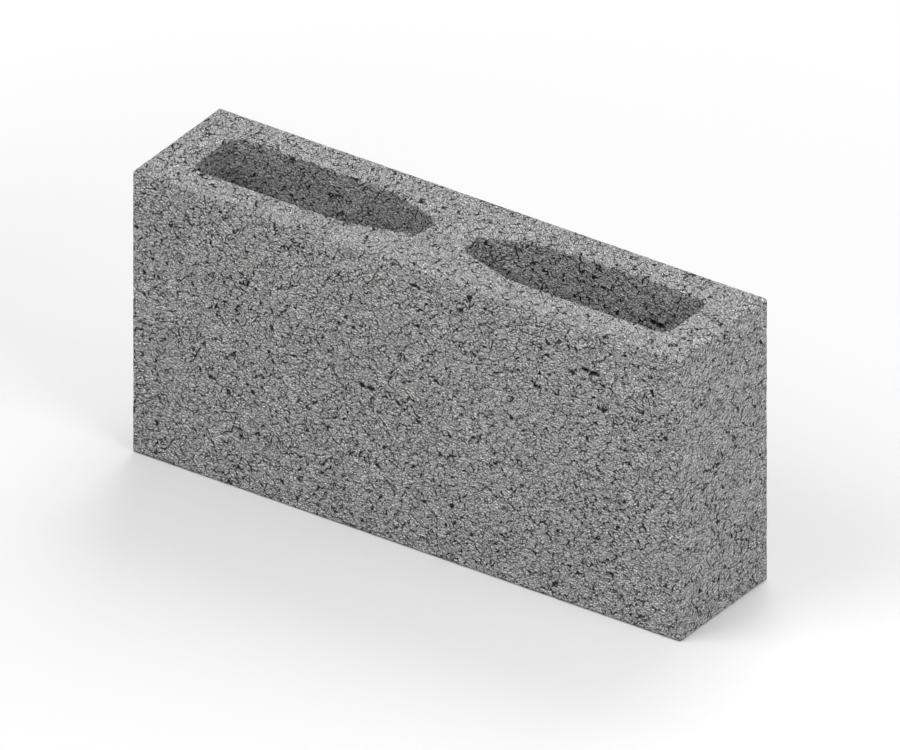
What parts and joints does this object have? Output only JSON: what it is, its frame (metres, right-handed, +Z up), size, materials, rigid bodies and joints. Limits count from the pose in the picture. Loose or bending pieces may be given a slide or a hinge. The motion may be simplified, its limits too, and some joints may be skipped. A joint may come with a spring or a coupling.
{
  "type": "concrete block",
  "caption": "Hollow concrete block with two long tapered cores right through it, for laying 90 mm single-leaf walls.",
  "frame": {"origin": "middle of the lower bed face, where the block stands", "axes": "+X along the length, +Y through the thickness from the front face to the back face, +Z up through the height, towards the upper bed face"},
  "size_m": [0.39, 0.09, 0.19],
  "materials": {
    "concrete": "matte"
  },
  "bodies": {
    "root": {"block": "concrete"}
  },
  "joints": []
}
